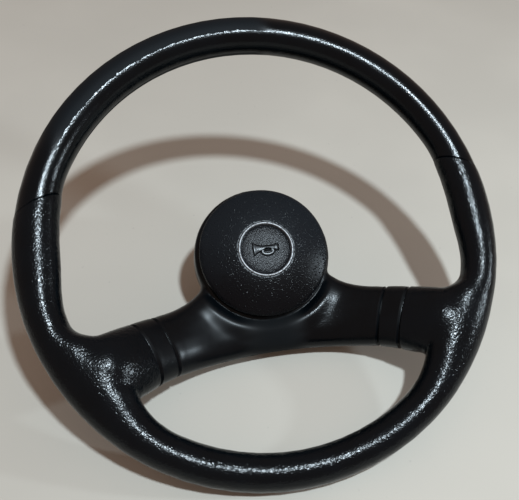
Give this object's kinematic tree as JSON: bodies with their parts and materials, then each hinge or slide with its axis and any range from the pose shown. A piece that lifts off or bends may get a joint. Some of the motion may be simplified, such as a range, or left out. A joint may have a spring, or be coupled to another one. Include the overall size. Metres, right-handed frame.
{
  "type": "car steering wheel",
  "caption": "Car steering wheel with a moulded grained rim, thumb rests, arched spokes dished down to the hub, and a sprung domed horn cap.",
  "frame": {"origin": "on the wheel's axis, in the plane of the hub's back face", "axes": "+Z along the wheel's axis towards the driver, +Y towards twelve o'clock on the rim, +X to the driver's right"},
  "size_m": [0.3798, 0.38, 0.093],
  "materials": {
    "moulding": "black integral-skin foam with a leather-like grain",
    "cap": "black, finely grained, slightly scuffed",
    "disc": "black, grained",
    "trim": "bright",
    "steel": "bare, dull",
    "zinc": "zinc plated",
    "brass": "bare, dull",
    "nylon_white": "natural nylon",
    "nylon_black": "black nylon"
  },
  "bodies": {
    "wheel": {"grip_moulding": "moulding", "rim_core": "steel", "spoke_bar_left": "steel", "spoke_bar_right": "steel", "hub_plate": "steel", "hub_boss": "steel", "cancel_cam": "nylon_white", "slip_ring": "brass", "post_bush": "nylon_white", "contact_post": "brass", "base_spacers": "zinc", "base_screws": "zinc", "horn_base": "nylon_black", "fixed_contact": "brass", "horn_springs": "zinc"},
    "horn_pad": {"cap_carrier": "nylon_black", "moving_contact": "brass", "contact_rivets": "brass", "horn_cap": "cap", "trim_ring": "trim", "emblem_disc": "disc"}
  },
  "joints": [
    {"name": "horn_press", "type": "slide", "parent": "wheel", "child": "horn_pad", "axis": [0, 0, 1], "range_m": [-0.002, 0], "stiffness_N_per_m": 3000, "springref_m": 0.003, "deforming": ["horn_springs"]}
  ]
}
